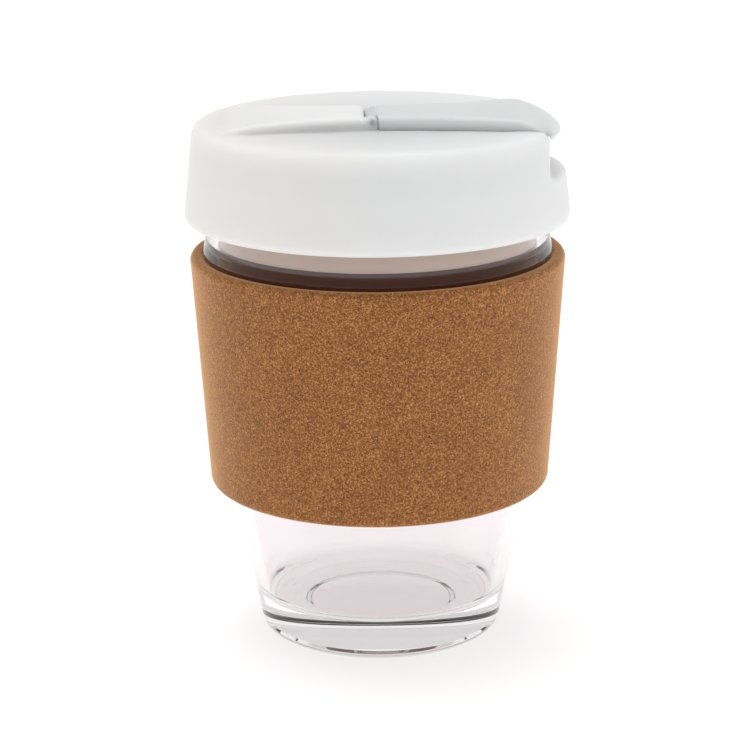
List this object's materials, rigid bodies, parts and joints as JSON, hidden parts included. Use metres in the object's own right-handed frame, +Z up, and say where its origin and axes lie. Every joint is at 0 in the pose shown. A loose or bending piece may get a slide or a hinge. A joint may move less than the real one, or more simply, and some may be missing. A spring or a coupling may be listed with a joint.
{
  "type": "reusable coffee cup",
  "caption": "Glass travel coffee cup with a cork grip band and a press-on lid whose flap lifts to open the sip hole.",
  "frame": {"origin": "centre of the foot, on the surface the cup stands on", "axes": "+Z up, +X towards the drinking side and finger lip, -Y towards the front"},
  "size_m": [0.089, 0.089, 0.1239],
  "materials": {
    "clear_glass": "clear pressed glass",
    "cork": "fine agglomerated cork, matt",
    "lid_plastic": "translucent white, satin",
    "silicone": "translucent silicone",
    "pin_steel": "drawn wire"
  },
  "bodies": {
    "cup": {"glass_cup": "clear_glass", "cork_band": "cork"},
    "seal": {"lid_seal": "silicone"},
    "lid": {"lid_shell": "lid_plastic", "hinge_pin": "pin_steel"},
    "flap": {"flap": "lid_plastic", "flap_stopper": "silicone"}
  },
  "joints": [
    {"name": "lid_lift", "type": "slide", "parent": "cup", "child": "seal", "axis": [0, 0, 1], "range_m": [0, 0.12]},
    {"name": "lid_turn", "type": "hinge", "parent": "seal", "child": "lid", "pos_m": [0, 0, 0.1], "axis": [0, 0, 1], "continuous": true},
    {"name": "flap_hinge", "type": "hinge", "parent": "lid", "child": "flap", "pos_m": [-0.0012, 0, 0.12255], "axis": [0, -1, 0], "range_deg": [0, 110]}
  ]
}
